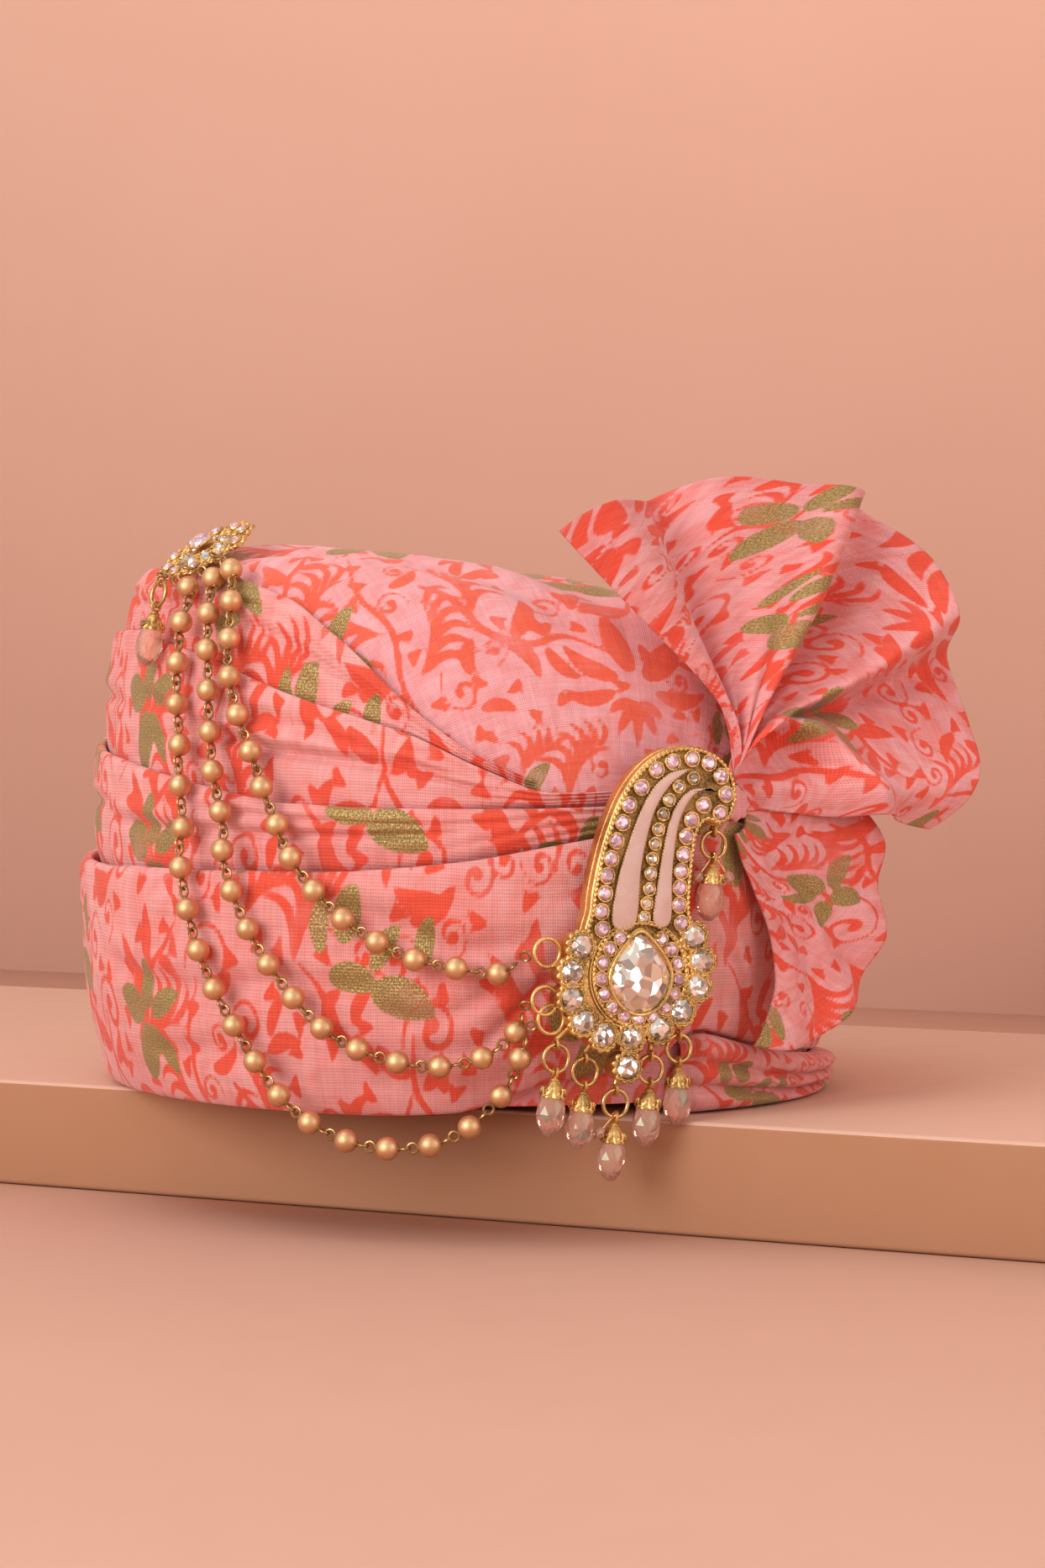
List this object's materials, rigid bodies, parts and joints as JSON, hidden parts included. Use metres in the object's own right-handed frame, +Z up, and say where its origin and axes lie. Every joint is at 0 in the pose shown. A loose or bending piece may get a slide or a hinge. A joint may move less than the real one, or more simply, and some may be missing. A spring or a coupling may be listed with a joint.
{
  "type": "tied turban pagri",
  "caption": "Wound muslin turban with a pleated fan and tail, a jewelled brooch with drops at the front, a round brooch and swagged bead chains.",
  "frame": {"origin": "middle of the head opening, on the plane of the rim, where the head enters", "axes": "+Z up to the crown, -Y out of the forehead, +X to the wearer's left"},
  "size_m": [0.2373, 0.2734, 0.2043],
  "materials": {
    "muslin": "open weave, matt, with woven gold motifs",
    "antique_gold": "antique gold plate, worn",
    "matte_gold": "matt gold plate",
    "pink_enamel": "smooth enamel",
    "clear_stone": "cut and polished",
    "pink_stone": "cut and polished",
    "peach_crystal": "cut and polished, iridescent"
  },
  "bodies": {
    "root": {"crown": "muslin", "lower_wrap": "muslin", "middle_wrap": "muslin", "upper_wrap": "muslin", "shoulder_wrap": "muslin", "rim_roll": "muslin", "fan": "muslin", "fan_knot": "muslin", "tail": "muslin", "kalgi_body": "antique_gold", "round_brooch": "antique_gold", "drop_ring_1": "antique_gold", "drop_cap_1": "antique_gold", "drop_ring_2": "antique_gold", "drop_cap_2": "antique_gold", "drop_ring_3": "antique_gold", "drop_cap_3": "antique_gold", "drop_ring_4": "antique_gold", "drop_cap_4": "antique_gold", "drop_ring_5": "antique_gold", "drop_cap_5": "antique_gold", "drop_ring_6": "antique_gold", "drop_cap_6": "antique_gold", "drop_ring_7": "antique_gold", "drop_cap_7": "antique_gold", "enamel_left": "pink_enamel", "enamel_right": "pink_enamel", "pear_stone": "clear_stone", "large_stone_1": "clear_stone", "large_stone_2": "clear_stone", "large_stone_3": "clear_stone", "large_stone_4": "clear_stone", "large_stone_5": "clear_stone", "large_stone_6": "clear_stone", "large_stone_7": "clear_stone", "large_stone_8": "clear_stone", "large_stone_9": "clear_stone", "large_stone_10": "clear_stone", "large_stone_11": "clear_stone", "large_stone_12": "clear_stone", "drop_crystal_1": "peach_crystal", "drop_crystal_2": "peach_crystal", "drop_crystal_3": "peach_crystal", "drop_crystal_4": "peach_crystal", "drop_crystal_5": "peach_crystal", "drop_crystal_6": "peach_crystal", "drop_crystal_7": "peach_crystal", "bead_chain_1": "matte_gold", "bead_chain_2": "matte_gold", "bead_chain_3": "matte_gold", "brooch_stone": "pink_stone"}
  },
  "joints": []
}
